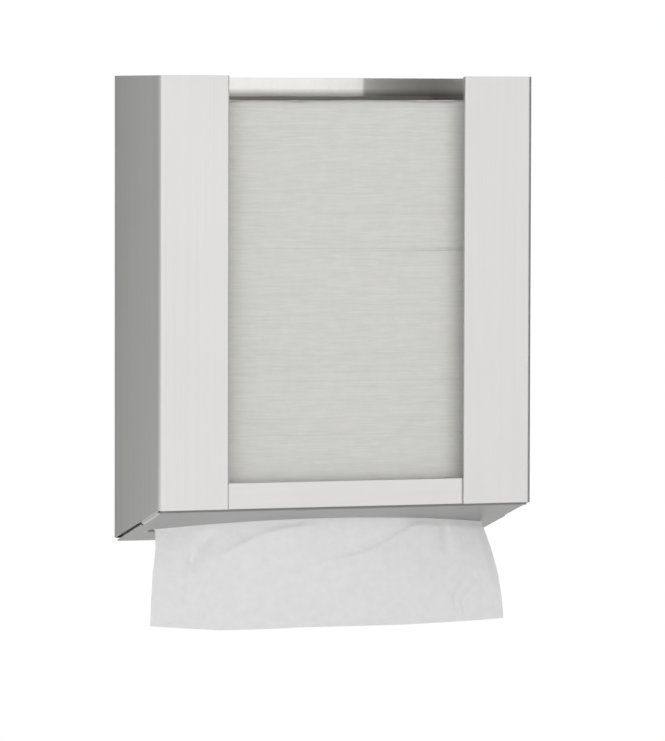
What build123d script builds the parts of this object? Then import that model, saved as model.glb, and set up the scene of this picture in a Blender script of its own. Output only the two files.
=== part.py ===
from build123d import *
from math import atan2, cos, degrees, hypot, radians, sin, sqrt, tan
import os

# A wall-hung dispenser for folded paper towels, open at the top and the front. It is folded from
# thin stainless sheet, and its bottom slopes down to the wall and has a bowed slot in it.
# Lengths are in millimetres. The wall is the plane y = 0, the front faces -y, x runs to the right
# as seen from the front and z points up. The origin is the middle of the four wall-screw holes.

# Folded towels: their size and the room round them set the cabinet's width and depth
towel_width = 265.0
towel_fold_depth = 85.0
towel_side_room = 4.5
towel_front_room = 14.5
screw_head_room = 3.5
seat_gap = 0.3

# Cabinet
front_height = 300.0
side_rear_drop = 26.5
band_width = 51.0
rear_flange = 12.0

# Sheet steel, its bends (outer radius) and its hems
sheet = 1.0
bend_radius = 3.0
hem_gap = 0.4
band_hem = 8.0
rail_hem = 6.0
hem_clearance = 0.5
overrun = 20.0

# Back plate and its wall-screw holes
plate_top_drop = 1.0
screw_top_inset = 50.0
screw_side_inset = 38.0
screw_pitch_z = 200.0
screw_hole_radius = 3.0

# Rail under the window, behind the hems of the bands
rail_height = 18.7
rail_overlap = 15.0

# Sloped pan at the bottom, with its flanges
pan_front_drop = 1.6
pan_rear_drop = 29.3
pan_rear_flange = 14.0
pan_clearance = 0.8
pan_tab_height = 10.0
pan_tab_share = 0.4
corner_relief = 1.5

# Slot in the pan: its front lip is an arc that bows towards the front
slot_narrowing = 15.0
slot_bow = 28.4
slot_end_depth = 5.5
slot_rear_land = 35.5
slot_corner = 2.5
lip_height = 3.0
lip_radius = 2.0

# Stack of towels, in three handfuls: where they part, as shares of the towels from the bottom up
stack_top_room = 15.5
towel_pitch = 2.19
bundle_names = ("lower_towel_bundle", "middle_towel_bundle", "upper_towel_bundle")
bundle_end_shares = (0.18, 0.63, 1.0)
fold_depth = 1.0
fold_low_share = 0.25
fold_high_share = 0.75
edge_setback = 0.8
edge_setback_shares = (0.0, 0.6, 0.2, 1.0, 0.1, 0.7, 0.4)

# Leaf of the lowest towel that hangs out of the slot
paper = 0.8
paper_gap = 0.5
paper_end_gap = 1.2
hanging_shift = 2.8
hanging_reach = 88.0
hanging_straight = 2.5
hanging_lean = 0.5
flare_level_share = 0.36
flare_width_share = 0.6
flare_bow_share = 0.4
bottom_bow = 6.5
hanging_fold = 3.0
hanging_fold_shares = (-1.0, -0.62, 0.72, 1.0)

# Levels and places worked out from the sizes above
inner_half = towel_width / 2 + towel_side_room
half_width = inner_half + sheet
stack_rear = -sheet - screw_head_room
stack_front = stack_rear - towel_fold_depth
band_back = stack_front - towel_front_room
band_front = band_back - sheet
top = screw_top_inset + screw_pitch_z / 2
foot = top - front_height
side_foot = foot - side_rear_drop
nose_radius = sheet + hem_gap / 2
window_half = half_width - band_width
rail_front = band_front + 2 * nose_radius
rail_top = foot + rail_height
pan_front = rail_front + sheet
pan_foot = foot - pan_front_drop
pan_front_flange = rail_top - nose_radius - rail_hem - hem_clearance - pan_foot
pan_run = -sheet - pan_front
pan_drop = pan_rear_drop - pan_front_drop
pan_slope = atan2(pan_drop, pan_run)
pan_tilt = degrees(pan_slope)
floor_length = hypot(pan_run, pan_drop)
floor_plane = Plane(
    origin=(0, pan_front, pan_foot),
    x_dir=(1, 0, 0),
    z_dir=(0, sin(pan_slope), cos(pan_slope)),
)
pan_half = inner_half - pan_clearance
tab_half = inner_half - bend_radius
slot_half = towel_width / 2 - slot_narrowing / 2
slot_rear = floor_length - slot_rear_land
slot_shoulder = slot_rear - slot_end_depth
lip_top = sheet + lip_height


def block(low, high):
    """A box between two corners."""
    size = [b - a for a, b in zip(low, high)]
    middle = [(a + b) / 2 for a, b in zip(low, high)]
    return Pos(*middle) * Box(*size)


def folded_section(start, heading, folds):
    """Section of a folded sheet. Each fold is a straight run, then a turn at an outer radius."""
    point = Vector(*start)
    direction = Vector(*heading)
    path = []
    for run, turn, radius in folds:
        if run:
            straight = Line(point, point + direction * run)
            path.append(straight)
            point = straight @ 1
        if turn:
            bend = JernArc(point, direction, radius - sheet / 2, turn)
            path.append(bend)
            point = bend @ 1
            direction = bend % 1
    return trace(path, sheet)


def make_back_plate():
    """Flat plate on the wall, with four screw holes."""
    plate_half = half_width - bend_radius
    plate = block(
        (-plate_half, -sheet, side_foot),
        (plate_half, 0, top - plate_top_drop),
    )
    hole = Plane.XZ * Cylinder(screw_hole_radius, 2 * overrun)
    holes = [
        Pos(side * (half_width - screw_side_inset), 0, level * screw_pitch_z / 2) * hole
        for side in (-1, 1)
        for level in (-1, 1)
    ]
    return plate - holes


def make_side_panel():
    """Left panel, one sheet: rear flange, side wall, front band and the hem at the window."""
    section = folded_section(
        (-half_width + rear_flange, -sheet - sheet / 2),
        (-1, 0),
        [
            (rear_flange - bend_radius, 90, bend_radius),
            (-sheet - band_front - 2 * bend_radius, 90, bend_radius),
            (band_width - bend_radius - nose_radius, 180, nose_radius),
            (band_hem, 0, 0),
        ],
    )
    low = side_foot - overrun
    panel = extrude(Pos(0, 0, low) * section, amount=top - low)
    below = Polyline(
        (band_front - overrun, foot),
        (band_front + bend_radius, foot),
        (-sheet, side_foot),
        (overrun, side_foot),
        (overrun, low - overrun),
        (band_front - overrun, low - overrun),
        close=True,
    )
    return panel - extrude(Plane.YZ * make_face(below), amount=2 * half_width, both=True)


def make_front_rail():
    """Strip across the window's foot, behind the bands, with its top edge hemmed inwards."""
    section = folded_section(
        (rail_front + sheet / 2, foot),
        (0, 1),
        [(rail_height - nose_radius, -180, nose_radius), (rail_hem, 0, 0)],
    )
    return extrude(Plane.YZ * section, amount=window_half + rail_overlap, both=True)


def slot_outline():
    """Slot seen square to the pan's floor: bowed front, short ends, straight rear, round corners."""
    left = (-slot_half, slot_shoulder)
    right = (slot_half, slot_shoulder)
    outline = [
        ThreePointArc(left, (0, slot_shoulder - slot_bow), right),
        Polyline(right, (slot_half, slot_rear), (-slot_half, slot_rear), left),
    ]
    face = make_face(outline)
    return fillet(face.vertices(), slot_corner)


def make_bottom_pan():
    """Sloped floor with a rolled lip round the slot, a front and a rear flange, and a tab at each end."""
    front_bend = bend_radius * tan(radians(90 - pan_tilt) / 2)
    rear_bend = bend_radius * tan(radians(90 + pan_tilt) / 2)
    flat_rear = floor_length - rear_bend
    slot = slot_outline()
    tab_front = front_bend + corner_relief
    tab_rear = pan_tab_share * floor_length
    pan = block((-tab_half, front_bend, 0), (tab_half, flat_rear, sheet))
    pan += block((-pan_half, tab_rear + corner_relief, 0), (pan_half, flat_rear, sheet))
    pan += extrude(offset(slot, sheet), amount=lip_top)
    upper = pan.faces().filter_by_position(Axis.Z, sheet, sheet)[0]
    pan = fillet(upper.inner_wires()[0].edges(), lip_radius - sheet)
    pan -= extrude(slot, amount=lip_top)
    lower = pan.faces().filter_by_position(Axis.Z, 0, 0)[0]
    pan = fillet(lower.inner_wires()[0].edges(), lip_radius)
    front = folded_section(
        (front_bend, sheet / 2),
        (-1, 0),
        [(0, pan_tilt - 90, bend_radius), (pan_front_flange - front_bend, 0, 0)],
    )
    rear = folded_section(
        (flat_rear, sheet / 2),
        (1, 0),
        [(0, 90 + pan_tilt, bend_radius), (pan_rear_flange - rear_bend, 0, 0)],
    )
    end = folded_section(
        (tab_half, sheet / 2),
        (1, 0),
        [(0, 90, bend_radius), (pan_tab_height - bend_radius, 0, 0)],
    )
    right_tab = extrude(Plane.XZ.offset(-tab_rear) * end, amount=tab_rear - tab_front)
    rear_half = half_width - rear_flange - pan_clearance
    pan += extrude(Plane.YZ * front, amount=pan_half, both=True)
    pan += extrude(Plane.YZ * rear, amount=rear_half, both=True)
    pan += [right_tab, mirror(right_tab, about=Plane.YZ)]
    return floor_plane * pan


def sloped(place, level):
    """Point of the stack's section: a level at the stack's front, carried along the pan's slope."""
    return (place, level - (place - stack_front) * tan(pan_slope))


def make_towel_bundle(base, count):
    """A handful of folded towels, lying parallel to the pan, with their folds front and rear."""
    front = []
    rear = []
    crease = edge_setback + fold_depth
    for number in range(count):
        level = base + number * towel_pitch
        low = level + fold_low_share * towel_pitch
        high = level + fold_high_share * towel_pitch
        inset = edge_setback * edge_setback_shares[number % len(edge_setback_shares)]
        front += [sloped(stack_front + crease, level)]
        front += [sloped(stack_front + inset, low), sloped(stack_front + inset, high)]
        rear += [sloped(stack_rear - crease, level)]
        rear += [sloped(stack_rear - inset, low), sloped(stack_rear - inset, high)]
    cover = base + count * towel_pitch
    front += [sloped(stack_front + crease, cover)]
    rear += [sloped(stack_rear - crease, cover)]
    outline = Polyline(*front, *reversed(rear), close=True)
    return extrude(Plane.YZ * make_face(outline), amount=towel_width / 2, both=True)


def make_towel_stack():
    """The handfuls one on another, from the slot's lip up."""
    floor_rise = (lip_top + seat_gap) / cos(pan_slope)
    base = pan_foot - (stack_front - pan_front) * tan(pan_slope) + floor_rise
    towels = round((top - stack_top_room - base) / towel_pitch)
    bundles = {}
    placed = 0
    for name, share in zip(bundle_names, bundle_end_shares):
        count = round(share * towels) - placed
        bundles[name] = make_towel_bundle(base, count)
        base += count * towel_pitch + seat_gap
        placed += count
    return bundles


def hanging_section(level, half, middle, bow, fold):
    """Level cut through the hanging leaf: arcs between its fold lines, bowed towards the front."""
    faces_front = []
    shares = hanging_fold_shares

    def place(share, depth):
        return Vector(hanging_shift + half * share, middle + bow * share**2 + depth, level)

    for first, last in zip(shares, shares[1:]):
        start = place(first, fold if abs(first) < 1 else 0)
        end = place(last, fold if abs(last) < 1 else 0)
        faces_front.append(ThreePointArc(start, place((first + last) / 2, 0), end))
    through = Vector(0, paper, 0)
    faces_back = [Pos(*through) * arc for arc in faces_front]
    left = faces_front[0] @ 0
    right = faces_front[-1] @ 1
    ends = [Line(left, left + through), Line(right, right + through)]
    return make_face(faces_front + faces_back + ends)


def make_hanging_towel():
    """Leaf that follows the slot's front lip, then hangs, spreads and flattens below the pan."""
    lip_circle = (slot_half**2 + slot_bow**2) / (2 * slot_bow)
    half = slot_half - paper_end_gap - hanging_shift
    drop = lip_circle - sqrt(lip_circle**2 - (half + hanging_shift) ** 2)
    lip_middle = (slot_shoulder - slot_bow) * cos(pan_slope) + lip_top * sin(pan_slope)
    middle = pan_front + lip_middle + paper_gap
    bow = drop * cos(pan_slope)
    end_floor = pan_foot - (middle + bow - pan_front) * tan(pan_slope)
    start = end_floor - hanging_straight
    bottom = foot - hanging_reach
    spread = towel_width / 2 - half
    flare = start + flare_level_share * (bottom - start)
    slot_face = hanging_section(start, half, middle, bow, 0)
    flare_half = half + flare_width_share * spread
    flare_bow = bow + flare_bow_share * (bottom_bow - bow)
    flare_fold = flare_bow_share * hanging_fold
    flare_face = hanging_section(flare, flare_half, middle, flare_bow, flare_fold)
    bottom_face = hanging_section(bottom, half + spread, middle - hanging_lean, bottom_bow, hanging_fold)
    leaf = loft([slot_face, flare_face, bottom_face])
    leaf += extrude(slot_face, amount=foot - start + overrun, dir=(0, 0, 1))
    above = block(
        (-half_width, -floor_length, lip_top),
        (half_width, 2 * floor_length, front_height),
    )
    return leaf - floor_plane * above


def make_parts():
    """Every piece of the dispenser, by name."""
    left_side_panel = make_side_panel()
    parts = {
        "back_plate": make_back_plate(),
        "left_side_panel": left_side_panel,
        "right_side_panel": mirror(left_side_panel, about=Plane.YZ),
        "front_rail": make_front_rail(),
        "bottom_pan": make_bottom_pan(),
        "hanging_towel": make_hanging_towel(),
    }
    parts.update(make_towel_stack())
    return parts


os.makedirs("parts", exist_ok=True)
for name, shape in make_parts().items():
    export_step(shape, f"parts/{name}.step")
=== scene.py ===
import math
import random

import bmesh
import bpy
from mathutils import Matrix, Vector, noise


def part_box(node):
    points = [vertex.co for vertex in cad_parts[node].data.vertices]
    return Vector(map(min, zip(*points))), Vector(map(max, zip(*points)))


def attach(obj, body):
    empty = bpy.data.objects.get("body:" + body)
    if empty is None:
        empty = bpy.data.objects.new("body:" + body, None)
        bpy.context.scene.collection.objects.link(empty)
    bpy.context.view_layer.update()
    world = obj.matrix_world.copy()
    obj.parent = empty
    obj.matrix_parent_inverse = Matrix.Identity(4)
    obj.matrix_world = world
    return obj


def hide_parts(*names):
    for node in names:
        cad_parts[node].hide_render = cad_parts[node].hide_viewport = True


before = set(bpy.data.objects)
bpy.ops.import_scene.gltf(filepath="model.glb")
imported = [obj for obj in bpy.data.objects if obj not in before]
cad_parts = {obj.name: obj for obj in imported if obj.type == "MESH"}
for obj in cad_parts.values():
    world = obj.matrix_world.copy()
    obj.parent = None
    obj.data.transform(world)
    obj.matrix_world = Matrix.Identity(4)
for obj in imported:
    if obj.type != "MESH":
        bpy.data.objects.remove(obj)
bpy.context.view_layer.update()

# Looks of a wall-hung folded-towel dispenser: brushed steel, a stack of towels and one hanging leaf.
# Lengths are in metres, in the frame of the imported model: the wall is y = 0, the front faces -y.

# Camera, fitted to the corners of the cabinet in the photograph
image_long_side = 741
focal_pixels = 5415.0
sensor_width = 36.0
camera_place = (-1.2922, -3.6442, 0.1324)
camera_yaw = math.radians(-19.897)
camera_pitch = math.radians(2.846)
camera_roll = math.radians(0.136)

# Pan under the stack: its rise over its run sets the slope of the towels
pan_rise = 0.0277
pan_run = 0.1006
slope_share = pan_rise / pan_run

# Range that most of a noise lies in
noise_low = 0.3
noise_high = 0.7

# Sockets of a colour mix
mix_factor = 0
mix_first = 6
mix_second = 7
mix_result = 2

# Axes that a grain can run along
level_axis = 0
upright_axis = 2

# Darkest and lightest colour of each steel, and the colour of its worn edges with their painted highlight
upright_tones = ((0.765, 0.760, 0.745), (0.851, 0.844, 0.827))
# The rail is the same steel as the side panels, given lighter tones: painted light
level_lit_tones = ((0.798, 0.792, 0.774), (0.898, 0.887, 0.873))
# The pan is the same steel, given darker tones: painted shade on its underside
pan_shaded_tones = ((0.473, 0.472, 0.468), (0.521, 0.520, 0.516))
plate_tones = ((0.89, 0.875, 0.848), (0.95, 0.93, 0.90))
worn_and_highlit_steel = (0.90, 0.90, 0.89)

# Brushed finish, and the smoother one of the back plate
brushed_roughness = 0.34
brushed_stretch_share = 0.5
plate_roughness = 0.035
plate_stretch_share = 1.0

# Patterns in steel: cycles per metre across and along the grain, and detail
grain_pattern = (1500.0, 9.0, 2.0)
streak_pattern = (210.0, 2.5, 3.0)
cloud_pattern = (14.0, 14.0, 2.0)
speck_pattern = (14000.0, 14000.0, 0.0)

# What the patterns add to the colour, the roughness and the relief
grain_shade_share = 0.30
streak_shade_share = 0.45
cloud_shade_share = 0.25
grain_roughness = 0.03
streak_roughness = 0.02
grain_relief_share = 0.25
grain_height = 0.00003

# Worn edges with a painted highlight: where a rounded normal agrees less with the true one, the steel is
# lighter
edge_radius = 0.0003
edge_samples = 4
worn_and_highlit_agreement = 0.85
flat_agreement = 0.995
edge_wear_and_highlight_share = 0.6

# Back plate: it bows above its upper screws, painted shade darkens all but its top, and it has fine matt
# specks
bow_start = 0.100
bow_curvature = 0.46
plate_shade_full_level = 0.1370
plate_shade_free_level = 0.1416
plate_shade_share = 0.45
speck_start = 0.49
speck_full = 0.53
speck_roughness = 0.265

# Side panels: painted shade towards the wall and on faces inside, rough inside, rough along the hem left of
# the window
cabinet_depth = 0.105
painted_wall_shade_share = 0.83
painted_inside_shade_share = 0.80
inside_roughness = 0.26
rear_facing_start = 0.5
rear_facing_full = 0.9
inward_start = -0.05
inward_full = -0.10
hem_start = -0.0884
hem_edge = -0.0874
hem_roughness = 0.65

# Pan: a painted highlight on the faces of its slot and tabs that look to the left or right
end_facing_start = 0.1
end_facing_full = 0.4

# Paper: darkest and lightest colour, finish, and patterns as cycles per metre along x, y and z, and detail
# The stack is the same paper as the leaf, given darker, yellower tones: painted shade inside the cabinet
stack_shaded_tones = ((0.682, 0.680, 0.646), (0.771, 0.766, 0.728))
leaf_tones = ((0.82, 0.82, 0.82), (0.88, 0.88, 0.88))
paper_roughness = 0.92
paper_specular = 0.18
mottle_pattern = ((150.0, 150.0, 150.0), 4.0)
crepe_pattern = ((900.0, 900.0, 520.0), 3.0)
line_pattern = ((60.0, 60.0, 1000.0), 4.0)
mottle_shade_shares = (0.1, 0.7)
lined_mottle_share = 0.5
line_shade_share = 0.6
crepe_height = 0.00025
stack_crepe_share = 0.15
leaf_crepe_share = 0.8

# Folded towels
towel_pitch = 0.00219
crease_depth = 0.0018
pitch_spread_share = 0.30
ply_gap = 0.00001
bundle_gap_fill = 0.00028
nose_reach_share = 0.07
nose_shares = ((1.0, 0.0), (0.35, 0.04), (0.0, 0.14), (0.0, 0.86), (0.35, 0.96), (1.0, 1.0))
rear_shares = (0.3, 0.7)
slit_share = 0.012
slit_start_share = 1.8
edge_inset = 0.00008
side_inset = 0.0008
hard_edge = math.radians(50)

# Stack: its stations across, its waves, and the front of its depth that breaks and dents reach into
stack_stations = 36
wave_height = 0.0011
wave_settle = 0.030
wave_scales = ((11.0, 8.0, 0.62), (34.0, 24.0, 0.38))
edge_wave = 0.00010
edge_wave_across = 55.0
edge_wave_up = 420.0
front_share = 0.25
groove_reach = 0.0024
crown_height = 0.0075
crown_reach = 0.0060

# Dents in the top edge of the stack: place across, half width and depth
top_dents = (
    (-0.0820, 0.0060, 0.0013),
    (-0.0312, 0.0045, 0.0013),
    (0.0640, 0.0100, 0.0008),
    (0.0830, 0.0060, 0.0013),
)

# Dark breaks seen in the stack: level, half height, depth share at the left and at the right
grooves = (
    (0.0292, 0.0009, 0.0, 1.0),
    (-0.0995, 0.0010, 0.40, 0.30),
    (0.0545, 0.0010, 0.1, 0.3),
    (-0.0425, 0.0010, 0.3, 0.1),
    (-0.0633, 0.0010, 0.1, 0.3),
)

# Hanging leaf
leaf_across = 230
leaf_down = 84
leaf_thickness = 0.00016
leaf_middle = -0.06605
leaf_top_level = -0.1573
leaf_bottom_middle = -0.0666
leaf_top_bow = 0.0260
leaf_bottom_bow = 0.0065
leaf_bow_power = 1.7
leaf_free_shares = (0.045, 0.11)
leaf_ripples = ((60.0, 0.00035), (190.0, 0.00012))

# Sides of the leaf: share of the way down and place across
leaf_left_edge = (
    (0.0, -0.1236),
    (0.035, -0.1234),
    (0.055, -0.1203),
    (0.24, -0.1219),
    (0.47, -0.1258),
    (0.75, -0.1287),
    (1.0, -0.1300),
)
leaf_right_edge = (
    (0.0, 0.1238),
    (0.15, 0.1266),
    (0.33, 0.1298),
    (0.56, 0.1327),
    (0.8, 0.1344),
    (1.0, 0.1352),
)

# Foot of the leaf: share of the way across, from -1 to 1, and level
leaf_foot_edge = (
    (-1.0, -0.2338),
    (-0.9, -0.2350),
    (-0.62, -0.2379),
    (-0.4, -0.2379),
    (-0.16, -0.2374),
    (0.41, -0.2379),
    (0.86, -0.2368),
    (1.0, -0.2359),
)

# Routes of the creases and soft folds of the leaf: points across and up
middle_crease = (
    (0.0960, -0.1560),
    (0.0750, -0.1632),
    (0.0621, -0.1680),
    (0.0510, -0.1728),
    (0.0375, -0.1803),
    (0.0240, -0.1851),
    (0.0110, -0.1874),
)
left_crease = ((-0.0278, -0.1652), (-0.0479, -0.1690), (-0.0547, -0.1718), (-0.0608, -0.1748))
right_crease = ((0.1283, -0.2057), (0.1247, -0.1845), (0.1231, -0.1711))
left_fold = ((-0.0866, -0.1745), (-0.0939, -0.1813), (-0.0975, -0.1890))
left_fold_tail = ((-0.0975, -0.1890), (-0.1012, -0.2061), (-0.1030, -0.2160))
left_foot_fold = ((-0.1195, -0.2301), (-0.1009, -0.2298))
right_fold = ((0.0913, -0.1690), (0.0914, -0.1852))
right_crumple = ((0.0976, -0.2272), (0.0962, -0.2186), (0.1029, -0.2104), (0.1129, -0.2051))
right_small_crumple = ((0.1038, -0.2296), (0.1024, -0.2224), (0.1090, -0.2156))
middle_crumple = ((0.0061, -0.2171), (0.0008, -0.2120), (0.0023, -0.2049), (0.0106, -0.2031))
left_crumple = ((-0.0885, -0.2189), (-0.0896, -0.2098), (-0.0858, -0.2029))

# Creases: route, the rise on its left, half width of that step, its reach, and the fade past the route's ends
leaf_creases = (
    (middle_crease, 0.0036, 0.0013, 0.028, 0.018),
    (left_crease, 0.0032, 0.0013, 0.028, 0.020),
    (right_crease, 0.0014, 0.0030, 0.020, 0.007),
)
crease_slope_share = 3.0

# Soft folds: route, half width and depth
leaf_folds = (
    (left_fold, 0.0046, 0.0025),
    (left_fold_tail, 0.0030, 0.0010),
    (left_foot_fold, 0.0018, 0.0006),
    (right_fold, 0.0045, 0.0008),
    (right_crumple, 0.0014, 0.0004),
    (right_small_crumple, 0.0014, 0.0004),
    (middle_crumple, 0.0014, 0.0003),
    (left_crumple, 0.0014, 0.0003),
)

# Studio: white all round, shaped by grey cards outside the picture: a corner, two sides and a tone
cards = {
    "left_card": ((-1.5, -1.2, -0.3), (0.0, 2.6, 0.0), (0.0, 0.0, 1.5), (0.488, 0.492, 0.515)),
    "rear_card": ((-1.5, 1.4, -0.6), (2.9, 0.0, 0.0), (0.0, 0.0, 1.8), (0.37, 0.37, 0.37)),
    "right_card": ((1.4, -1.6, -0.6), (0.0, 3.0, 0.0), (0.0, 0.0, 1.8), (0.21, 0.21, 0.21)),
    "top_card": ((-1.5, -3.0, 1.2), (2.9, 0.0, 0.0), (0.0, 4.4, 0.0), (0.33, 0.33, 0.33)),
}

# Lamps: place, heading, width and height, and power in watts
lamps = {
    "front_lamp": ((-0.5, -2.4, 0.05), (0.5, 2.4, -0.05), (4.4, 0.55), 24.0),
    "backdrop_lamp": ((0.25, 0.45, 0.1), (0.1, 0.55, -0.83), (0.8, 0.5), 6.0),
}

# Floor
floor_level = -0.62
floor_half = 1.38
floor_tone = (0.66, 0.66, 0.655)
floor_roughness = 0.9


def add_object(name, data):
    """A new object at the origin."""
    piece = bpy.data.objects.new(name, data)
    bpy.context.scene.collection.objects.link(piece)
    return piece


def mesh_of(shape, name, material):
    """The mesh of a finished shape, with its material."""
    mesh = bpy.data.meshes.new(name)
    shape.to_mesh(mesh)
    shape.free()
    mesh.materials.append(material)
    return mesh


# Nodes of materials


def blank_material(name):
    """A material with one principled shader, as material, node tree and shader."""
    material = bpy.data.materials.new(name)
    material.use_nodes = True
    tree = material.node_tree
    return material, tree, tree.nodes["Principled BSDF"]


def split_axis(tree, vector, axis):
    """One coordinate of a vector."""
    split = tree.nodes.new("ShaderNodeSeparateXYZ")
    tree.links.new(vector, split.inputs["Vector"])
    return split.outputs[axis]


def place_along(tree, axis):
    """The object's own coordinate along one axis."""
    return split_axis(tree, tree.nodes.new("ShaderNodeTexCoord").outputs["Object"], axis)


def true_normal(tree):
    """The normal of a face, without relief."""
    return tree.nodes.new("ShaderNodeNewGeometry").outputs["Normal"]


def facing(tree, axis):
    """How far a face looks along one axis, from -1 to 1."""
    return split_axis(tree, true_normal(tree), axis)


def object_noise(tree, scales, detail):
    """Noise over the object's own coordinates, with its cycles per metre along x, y and z."""
    place = tree.nodes.new("ShaderNodeTexCoord")
    mapping = tree.nodes.new("ShaderNodeMapping")
    mapping.inputs["Scale"].default_value = scales
    pattern = tree.nodes.new("ShaderNodeTexNoise")
    pattern.inputs["Scale"].default_value = 1.0
    pattern.inputs["Detail"].default_value = detail
    tree.links.new(place.outputs["Object"], mapping.inputs["Vector"])
    tree.links.new(mapping.outputs["Vector"], pattern.inputs["Vector"])
    return pattern.outputs["Fac"]


def grain_noise(tree, pattern, axis):
    """Noise drawn out along one axis."""
    across, along, detail = pattern
    scales = [across] * 3
    scales[axis] = along
    return object_noise(tree, scales, detail)


def ranged(tree, value, start, end, low, high):
    """A value between start and end, turned into one between low and high."""
    node = tree.nodes.new("ShaderNodeMapRange")
    node.inputs["From Min"].default_value = start
    node.inputs["From Max"].default_value = end
    node.inputs["To Min"].default_value = low
    node.inputs["To Max"].default_value = high
    tree.links.new(value, node.inputs["Value"])
    return node.outputs["Result"]


def spread(tree, value, low, high):
    """The usual range of a noise, stretched to low and high."""
    return ranged(tree, value, noise_low, noise_high, low, high)


def combined(tree, operation, *values):
    """One number from one or two."""
    node = tree.nodes.new("ShaderNodeMath")
    node.operation = operation
    for socket, value in zip(node.inputs, values):
        if isinstance(value, float):
            socket.default_value = value
        else:
            tree.links.new(value, socket)
    return node.outputs["Value"]


def mixed(tree, factor, first, second):
    """A colour between two, by a factor from 0 to 1. Each is a fixed colour or the output of a node."""
    mix = tree.nodes.new("ShaderNodeMix")
    mix.data_type = "RGBA"
    tree.links.new(factor, mix.inputs[mix_factor])
    for socket, colour in ((mix_first, first), (mix_second, second)):
        if isinstance(colour, tuple):
            mix.inputs[socket].default_value = (*colour, 1)
        else:
            tree.links.new(colour, mix.inputs[socket])
    return mix.outputs[mix_result]


def scaled(tree, colour, share):
    """A colour times a share."""
    product = tree.nodes.new("ShaderNodeVectorMath")
    product.operation = "SCALE"
    tree.links.new(colour, product.inputs[0])
    tree.links.new(share, product.inputs["Scale"])
    return product.outputs["Vector"]


def relief(tree, height, strength, distance, normal=None):
    """The normal of a surface with a fine relief."""
    bump = tree.nodes.new("ShaderNodeBump")
    bump.inputs["Strength"].default_value = strength
    bump.inputs["Distance"].default_value = distance
    tree.links.new(height, bump.inputs["Height"])
    if normal:
        tree.links.new(normal, bump.inputs["Normal"])
    return bump.outputs["Normal"]


# Steel


def rounded_normal(tree):
    """The normal of a face whose edges are slightly rounded."""
    bevel = tree.nodes.new("ShaderNodeBevel")
    bevel.samples = edge_samples
    bevel.inputs["Radius"].default_value = edge_radius
    return bevel.outputs["Normal"]


def edge_wear_and_highlight(tree, rounded):
    """Worn edges with a painted highlight: 0 on flat metal, more along its edges, from how far a rounded
    normal leaves the true one.
    """
    agreement = tree.nodes.new("ShaderNodeVectorMath")
    agreement.operation = "DOT_PRODUCT"
    tree.links.new(rounded, agreement.inputs[0])
    tree.links.new(true_normal(tree), agreement.inputs[1])
    return ranged(tree, agreement.outputs["Value"], worn_and_highlit_agreement, flat_agreement, edge_wear_and_highlight_share, 0.0)


def across_grain(tree, axis):
    """The direction on a face that crosses a grain along one axis."""
    along = [0.0, 0.0, 0.0]
    along[axis] = 1.0
    across = tree.nodes.new("ShaderNodeVectorMath")
    across.operation = "CROSS_PRODUCT"
    across.inputs[1].default_value = along
    tree.links.new(true_normal(tree), across.inputs[0])
    return across.outputs["Vector"]


def sheet_steel(name, tones, roughness, stretch_share, axis):
    """Sheet steel with a grain along one axis: its material and the outputs that a finish builds on."""
    material, tree, shader = blank_material(name)
    shader.inputs["Metallic"].default_value = 1.0
    shader.inputs["Anisotropic"].default_value = stretch_share
    tree.links.new(across_grain(tree, axis), shader.inputs["Tangent"])
    grain = grain_noise(tree, grain_pattern, axis)
    streaks = grain_noise(tree, streak_pattern, axis)
    cloud = grain_noise(tree, cloud_pattern, axis)
    shade = spread(tree, grain, 0.0, grain_shade_share)
    shade = combined(tree, "ADD", shade, spread(tree, streaks, 0.0, streak_shade_share))
    shade = combined(tree, "ADD", shade, spread(tree, cloud, 0.0, cloud_shade_share))
    rough = spread(tree, grain, -grain_roughness, grain_roughness)
    rough = combined(tree, "ADD", rough, spread(tree, streaks, -streak_roughness, streak_roughness))
    normal = rounded_normal(tree)
    return {
        "material": material,
        "tree": tree,
        "shader": shader,
        "grain": grain,
        "colour": mixed(tree, shade, *tones),
        "roughness": combined(tree, "ADD", rough, roughness),
        "worn_and_highlit": edge_wear_and_highlight(tree, normal),
        "normal": normal,
    }


def finished(steel):
    """The material of a sheet, with its outputs joined to its shader."""
    tree = steel["tree"]
    inputs = steel["shader"].inputs
    # Lighter along worn edges and on the pan's ends: partly real wear, partly painted highlight
    tree.links.new(mixed(tree, steel["worn_and_highlit"], steel["colour"], worn_and_highlit_steel), inputs["Base Color"])
    tree.links.new(steel["roughness"], inputs["Roughness"])
    normal = relief(tree, steel["grain"], grain_relief_share, grain_height, steel["normal"])
    tree.links.new(normal, inputs["Normal"])
    return steel["material"]


def painted_wall_shade(tree):
    """Painted shade: 1 at the front of the cabinet, less towards the wall."""
    back = ranged(tree, place_along(tree, "Y"), -cabinet_depth, 0.0, 0.0, 1.0)
    return ranged(tree, combined(tree, "POWER", back, 2.0), 0.0, 1.0, 1.0, painted_wall_shade_share)


def painted_inside_shade(tree):
    """Painted shade: 1 outside the cabinet, less on faces of the side panels that look inwards or to the
    rear.
    """
    turned = combined(tree, "MULTIPLY", place_along(tree, "X"), facing(tree, "X"))
    inward = ranged(tree, turned, inward_full, inward_start, 1.0, 0.0)
    rearward = ranged(tree, facing(tree, "Y"), rear_facing_start, rear_facing_full, 0.0, 1.0)
    return ranged(tree, combined(tree, "MAXIMUM", inward, rearward), 0.0, 1.0, 1.0, painted_inside_shade_share)


def inside_wear(tree):
    """The roughness that the unbrushed inside of the bands adds."""
    return ranged(tree, facing(tree, "Y"), rear_facing_start, rear_facing_full, 0.0, inside_roughness)


def hem_wear(tree):
    """The roughness that rubbing adds along the hem on the left of the window."""
    across = place_along(tree, "X")
    risen = ranged(tree, across, hem_start, hem_edge, 0.0, hem_roughness)
    return combined(tree, "MULTIPLY", risen, ranged(tree, across, hem_edge, 0.0, 1.0, 0.0))


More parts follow.
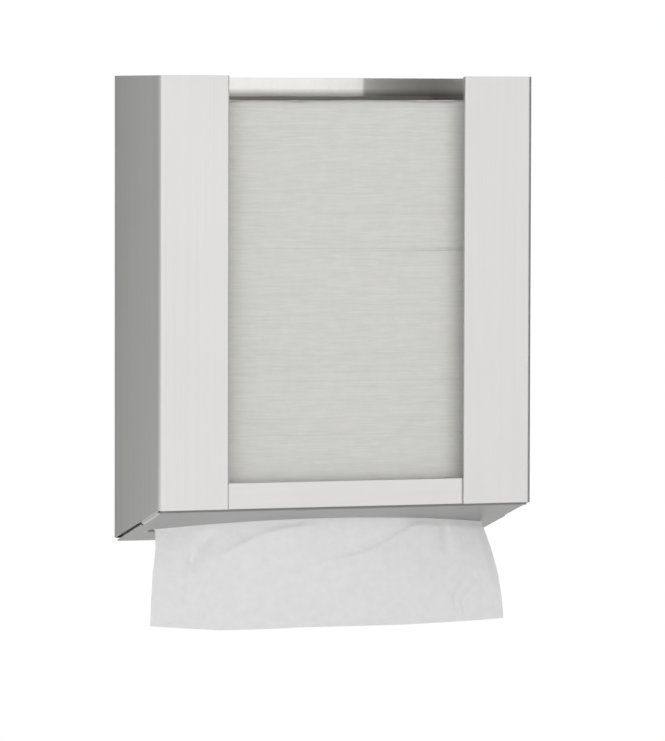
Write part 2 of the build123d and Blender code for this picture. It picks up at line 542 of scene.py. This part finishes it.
def upright_steel():
    """Steel of the side panels, brushed up and down."""
    steel = sheet_steel(
        "upright_brushed_steel_painted_shade", upright_tones, brushed_roughness, brushed_stretch_share, upright_axis
    )
    tree = steel["tree"]
    # Painted shade: the colour darkens towards the wall
    steel["colour"] = scaled(tree, steel["colour"], painted_wall_shade(tree))
    # Painted shade: the colour darkens on faces inside the cabinet
    steel["colour"] = scaled(tree, steel["colour"], painted_inside_shade(tree))
    steel["roughness"] = combined(tree, "ADD", steel["roughness"], inside_wear(tree))
    steel["roughness"] = combined(tree, "ADD", steel["roughness"], hem_wear(tree))
    return finished(steel)


def level_steel():
    """Steel of the rail, brushed from side to side."""
    return finished(
        sheet_steel("level_brushed_steel_painted_light", level_lit_tones, brushed_roughness, brushed_stretch_share, level_axis)
    )


def painted_end_highlight(tree):
    """A painted highlight: 0 on faces that look up, down, forward or back, up to 1 on those that look to the
    left or right.
    """
    turned = combined(tree, "ABSOLUTE", facing(tree, "X"))
    return ranged(tree, turned, end_facing_start, end_facing_full, 0.0, 1.0)


def pan_steel():
    """Steel of the pan, brushed from side to side, with a painted highlight on its ends."""
    steel = sheet_steel("pan_brushed_steel_painted_shade", pan_shaded_tones, brushed_roughness, brushed_stretch_share, level_axis)
    tree = steel["tree"]
    # Painted highlight on the faces that look to the left or right
    steel["worn_and_highlit"] = combined(tree, "MAXIMUM", steel["worn_and_highlit"], painted_end_highlight(tree))
    return finished(steel)


def painted_plate_shade(tree):
    """Painted shade: 1 at the top of the plate, less below it, towards the top of the stack."""
    return ranged(tree, place_along(tree, "Z"), plate_shade_full_level, plate_shade_free_level, plate_shade_share, 1.0)


def speckled(tree):
    """The roughness of a smooth plate with fine matt specks, which blur part of what it reflects."""
    specks = grain_noise(tree, speck_pattern, upright_axis)
    return ranged(tree, specks, speck_start, speck_full, plate_roughness, speck_roughness)


def plate_bow(tree):
    """Height, in metres, of the slight bow of the plate above its upper screws."""
    climb = combined(tree, "MAXIMUM", combined(tree, "SUBTRACT", place_along(tree, "Z"), bow_start), 0.0)
    return combined(tree, "MULTIPLY", combined(tree, "POWER", climb, 2.0), bow_curvature / 2)


def plate_steel():
    """Steel of the back plate, rolled smooth."""
    steel = sheet_steel("rolled_plate_steel_painted_shade", plate_tones, plate_roughness, plate_stretch_share, upright_axis)
    tree = steel["tree"]
    # Painted shade: the plate darkens below its top
    steel["colour"] = scaled(tree, steel["colour"], painted_plate_shade(tree))
    steel["roughness"] = speckled(tree)
    steel["normal"] = relief(tree, plate_bow(tree), 1.0, 1.0, steel["normal"])
    return finished(steel)


def dress(nodes, material):
    """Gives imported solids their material."""
    for name in nodes:
        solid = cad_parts[name]
        if not solid.material_slots:
            solid.data.materials.append(material)
        for holder in solid.material_slots:
            holder.material = material


# Paper


def towel_paper(name, tones, crepe_share, lined):
    """Soft crepe paper: mottled, matt and finely wrinkled, with streaks along the folds of a stack."""
    material, tree, shader = blank_material(name)
    shader.inputs["Roughness"].default_value = paper_roughness
    shader.inputs["Specular IOR Level"].default_value = paper_specular
    shade = spread(tree, object_noise(tree, *mottle_pattern), *mottle_shade_shares)
    if lined:
        shade = combined(tree, "MULTIPLY", shade, lined_mottle_share)
        lines = spread(tree, object_noise(tree, *line_pattern), 0.0, line_shade_share)
        shade = combined(tree, "ADD", shade, lines)
    tree.links.new(mixed(tree, shade, *tones), shader.inputs["Base Color"])
    crepe = object_noise(tree, *crepe_pattern)
    tree.links.new(relief(tree, crepe, crepe_share, crepe_height), shader.inputs["Normal"])
    return material


# Stack of towels


def stack_wave(across, level, base):
    """How far a layer of the stack leaves its level: none on the pan, more further up."""
    settled = min(1.0, max(0.0, (level - base) / wave_settle))
    total = 0.0
    for along, up, share in wave_scales:
        total += share * noise.noise(Vector((across * along, level * up, along)))
    return wave_height * settled * total


def edge_ripple(across, level, number):
    """How far the fold of one towel leaves its line."""
    return edge_wave * noise.noise(Vector((across * edge_wave_across, level * edge_wave_up, number)))


def groove_depth(across, half, level):
    """How far the fold edges lie back where the photograph shows a dark break in the stack."""
    side = (across / half + 1) / 2
    depth = 0.0
    for middle, half_height, left_share, right_share in grooves:
        near = math.exp(-(((level - middle) / half_height) ** 2))
        depth += near * (left_share + (right_share - left_share) * side)
    return groove_reach * min(1.0, depth)


def crown_push(across, level, top):
    """How far the rounded and dented top edge of the stack lies back at a level."""
    for middle, half_width, depth in top_dents:
        top -= depth * math.exp(-(((across - middle) / half_width) ** 2))
    climb = min(1.0, max(0.0, 1 - (top - level) / crown_height))
    return crown_reach * (1 - math.sqrt(1 - climb**2))


def towel_profile(thick, depth, front_inset, rear_inset, reach):
    """Section of a once-folded towel along its depth and height: fold in front, leaves open behind."""
    leaf = thick * (1 - slit_share) / 2
    back = depth - rear_inset
    slit = front_inset + slit_start_share * thick
    low_share, high_share = rear_shares
    points = [(back - reach, 0.0)]
    points += [(front_inset + reach * along, thick * up) for along, up in nose_shares]
    points += [(back - reach, thick)]
    points += [(back, thick - low_share * leaf), (back, thick - high_share * leaf)]
    points += [(back - reach, thick - leaf), (slit, thick - leaf)]
    points += [(slit, leaf), (back - reach, leaf)]
    points += [(back, high_share * leaf), (back, low_share * leaf)]
    return points


def towel_levels(count, height, chance):
    """Levels between the towels of a handful, unevenly thick, that fill its height."""
    shares = [chance.uniform(1 - pitch_spread_share, 1 + pitch_spread_share) for _ in range(count)]
    scale = height / sum(shares)
    levels = [0.0]
    for share in shares:
        levels.append(levels[-1] + share * scale)
    return levels


def close_strip(shape, rings):
    """Faces between rings of points, smooth along the strip and flat at its two ends."""
    for first, second in zip(rings, rings[1:]):
        for index in range(len(first)):
            following = (index + 1) % len(first)
            face = shape.faces.new((first[index], first[following], second[following], second[index]))
            face.smooth = True
    shape.faces.new(rings[0])
    shape.faces.new(list(reversed(rings[-1])))


def add_towel(shape, low, high, front, depth, half, base, top, turned, chance):
    """One folded towel between two levels of the stack, as a closed strip along its width."""
    thick = high - low - ply_gap
    insets = [edge_inset * chance.random() for _ in range(2)]
    reach = nose_reach_share * thick * chance.random() ** 2
    profile = towel_profile(thick, depth, *insets, reach)
    left = -half + side_inset * chance.random()
    right = half - side_inset * chance.random()
    number = chance.random()
    rings = []
    for station in range(stack_stations + 1):
        across = left + (right - left) * station / stack_stations
        lift = stack_wave(across, low, base)
        stretch = (high + stack_wave(across, high, base) - low - lift - ply_gap) / thick
        ripple = edge_ripple(across, low, number)
        ring = []
        for place, level in profile:
            if turned:
                place = depth - place
            nearness = max(0.0, 1 - place / (depth * front_share))
            groove = groove_depth(across, half, low + level)
            place += nearness * (groove + ripple + crown_push(across, low + level, top))
            up = low + lift + level * stretch - place * slope_share
            ring.append(shape.verts.new((across, front + place, up)))
        rings.append(ring)
    close_strip(shape, rings)


def front_levels(node):
    """Foot and top of a handful at its front, from the box of its solid, whose corners are creased."""
    low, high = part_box(node)
    crease_drop = crease_depth * slope_share
    return low.z + (high.y - low.y) * slope_share - crease_drop, high.z + crease_drop


def make_bundle(node, name, base, top, material, seed):
    """A handful of folded towels in the space of its solid."""
    low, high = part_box(node)
    depth = high.y - low.y
    half = (high.x - low.x) / 2
    foot, cover = front_levels(node)
    height = cover - foot + bundle_gap_fill
    count = round(height / towel_pitch)
    chance = random.Random(seed)
    levels = [foot + level for level in towel_levels(count, height, chance)]
    shape = bmesh.new()
    for index, (under, over) in enumerate(zip(levels, levels[1:])):
        add_towel(shape, under, over, low.y, depth, half, base, top, index % 2 == 1, chance)
    bmesh.ops.recalc_face_normals(shape, faces=shape.faces)
    for edge in shape.edges:
        if len(edge.link_faces) == 2 and edge.calc_face_angle() > hard_edge:
            edge.smooth = False
    return add_object(name, mesh_of(shape, name, material))


# Hanging leaf


def curve_at(points, share):
    """A place between those listed for shares, along straight stretches."""
    for (start, first), (end, last) in zip(points, points[1:]):
        if share <= end:
            step = (share - start) / (end - start)
            return first + (last - first) * step
    return points[-1][1]


def beside(point, route):
    """Signed distance from a route, more than zero on its left, and how far the point lies past its ends."""
    best = None
    for index, (start, end) in enumerate(zip(route, route[1:])):
        start, end = Vector(start), Vector(end)
        run = (end - start).normalized()
        offset = point - start
        along = offset.dot(run)
        side = run.x * offset.y - run.y * offset.x
        before = max(0.0, -along)
        after = max(0.0, along - (end - start).length)
        distance = math.hypot(before + after, side)
        if best is None or distance < best[0]:
            past = before if index == 0 else 0.0
            past += after if index == len(route) - 2 else 0.0
            best = (distance, side, past)
    return best[1:]


def fold_push(across, level):
    """How far the folds and creases push a point of the leaf to the front."""
    point = Vector((across, level))
    total = 0.0
    for route, half_width, depth in leaf_folds:
        side, past = beside(point, route)
        total -= depth * math.exp(-(math.hypot(side, past) / half_width) ** 2)
    for route, rise, half_width, reach, fade in leaf_creases:
        side, past = beside(point, route)
        width = half_width if side > 0 else crease_slope_share * half_width
        step = (1 + math.tanh(side / width)) / 2
        total += rise * step * math.exp(-max(0.0, side) / reach - (past / fade) ** 2)
    return total


def leaf_point(across_share, down_share):
    """A point of the hanging leaf: bowed round the slot's lip at the top, nearly flat at the bottom."""
    left = curve_at(leaf_left_edge, down_share)
    right = curve_at(leaf_right_edge, down_share)
    across = left + (right - left) * (across_share + 1) / 2
    ease = (1 - down_share) ** leaf_bow_power
    bow = leaf_bottom_bow + (leaf_top_bow - leaf_bottom_bow) * ease
    middle = leaf_bottom_middle + (leaf_middle - leaf_bottom_middle) * ease
    place = middle + bow * across_share**2
    top = leaf_top_level - leaf_top_bow * across_share**2 * slope_share
    level = top + (curve_at(leaf_foot_edge, across_share) - top) * down_share
    held, loose = leaf_free_shares
    free = min(1.0, max(0.0, (down_share - held) / (loose - held)))
    push = fold_push(across, level)
    for scale, height in leaf_ripples:
        push += height * noise.noise(Vector((across, level, 0.0)) * scale)
    return Vector((across, place - free * push, level))


def make_leaf(material):
    """The leaf of the lowest towel that hangs from the slot, as one thin sheet."""
    shape = bmesh.new()
    rows = []
    for down in range(leaf_down + 1):
        row = []
        for across in range(leaf_across + 1):
            point = leaf_point(2 * across / leaf_across - 1, down / leaf_down)
            row.append(shape.verts.new(point))
        rows.append(row)
    for upper, lower in zip(rows, rows[1:]):
        for index in range(leaf_across):
            face = shape.faces.new((upper[index], lower[index], lower[index + 1], upper[index + 1]))
            face.smooth = True
    for edge in shape.edges:
        edge.smooth = not edge.is_boundary
    leaf = add_object("hanging_leaf", mesh_of(shape, "hanging_leaf", material))
    paper = leaf.modifiers.new("paper", "SOLIDIFY")
    paper.thickness = leaf_thickness
    paper.offset = 0.0
    return leaf


# Studio


def make_world():
    """A plain white studio."""
    world = bpy.data.worlds.new("studio")
    world.use_nodes = True
    world.node_tree.nodes["Background"].inputs["Color"].default_value = (1, 1, 1, 1)
    bpy.context.scene.world = world


def make_card(name, corner, along, up, tone):
    """A grey card that shades the studio from one side and shows in the steel, but not in the picture."""
    corner, along, up = Vector(corner), Vector(along), Vector(up)
    mesh = bpy.data.meshes.new(name)
    mesh.from_pydata([corner, corner + along, corner + along + up, corner + up], [], [(0, 1, 2, 3)])
    material, _, shader = blank_material(name)
    shader.inputs["Base Color"].default_value = (0, 0, 0, 1)
    shader.inputs["Specular IOR Level"].default_value = 0.0
    shader.inputs["Emission Color"].default_value = (*tone, 1)
    shader.inputs["Emission Strength"].default_value = 1.0
    mesh.materials.append(material)
    card = add_object(name, mesh)
    card.visible_camera = False


def make_lamp(name, place, heading, size, power):
    """A large soft lamp, kept out of the steel's reflections."""
    data = bpy.data.lights.new(name, "AREA")
    data.shape = "RECTANGLE"
    data.size, data.size_y = size
    data.energy = power
    lamp = add_object(name, data)
    lamp.location = place
    lamp.rotation_euler = Vector(heading).to_track_quat("-Z", "Y").to_euler()
    lamp.visible_glossy = False


def make_floor():
    """A plain pale floor well below the object."""
    mesh = bpy.data.meshes.new("floor")
    corners = [
        (side * floor_half, end * floor_half, floor_level)
        for side, end in ((-1, -1), (1, -1), (1, 1), (-1, 1))
    ]
    mesh.from_pydata(corners, [], [(0, 1, 2, 3)])
    material, _, shader = blank_material("pale_floor")
    shader.inputs["Base Color"].default_value = (*floor_tone, 1)
    shader.inputs["Roughness"].default_value = floor_roughness
    mesh.materials.append(material)
    add_object("floor", mesh)


def make_camera():
    """The photograph's camera."""
    data = bpy.data.cameras.new("camera")
    data.sensor_width = sensor_width
    data.lens = focal_pixels * sensor_width / image_long_side
    camera = add_object("camera", data)
    turn = Matrix.Rotation(camera_yaw, 4, "Z")
    tilt = Matrix.Rotation(math.pi / 2 - camera_pitch, 4, "X")
    roll = Matrix.Rotation(camera_roll, 4, "Z")
    camera.matrix_world = Matrix.Translation(camera_place) @ turn @ tilt @ roll
    bpy.context.scene.camera = camera


make_world()
for name, card in cards.items():
    make_card(name, *card)
for name, lamp in lamps.items():
    make_lamp(name, *lamp)
make_floor()
make_camera()

dress(("left_side_panel", "right_side_panel"), upright_steel())
dress(("front_rail",), level_steel())
dress(("bottom_pan",), pan_steel())
dress(("back_plate",), plate_steel())

shaded_stack_paper = towel_paper("shaded_stack_paper", stack_shaded_tones, stack_crepe_share, lined=True)
stack_base = front_levels("lower_towel_bundle")[0]
stack_top = front_levels("upper_towel_bundle")[1]
for seed, handful in enumerate(("lower", "middle", "upper")):
    node = f"{handful}_towel_bundle"
    towels = make_bundle(node, f"{handful}_towels", stack_base, stack_top, shaded_stack_paper, seed)
    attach(towels, f"{handful}_bundle")
    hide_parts(node)

leaf = make_leaf(towel_paper("leaf_paper", leaf_tones, leaf_crepe_share, lined=False))
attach(leaf, "pulled_towel")
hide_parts("hanging_towel")

scene = bpy.context.scene
scene.view_settings.view_transform = "Standard"
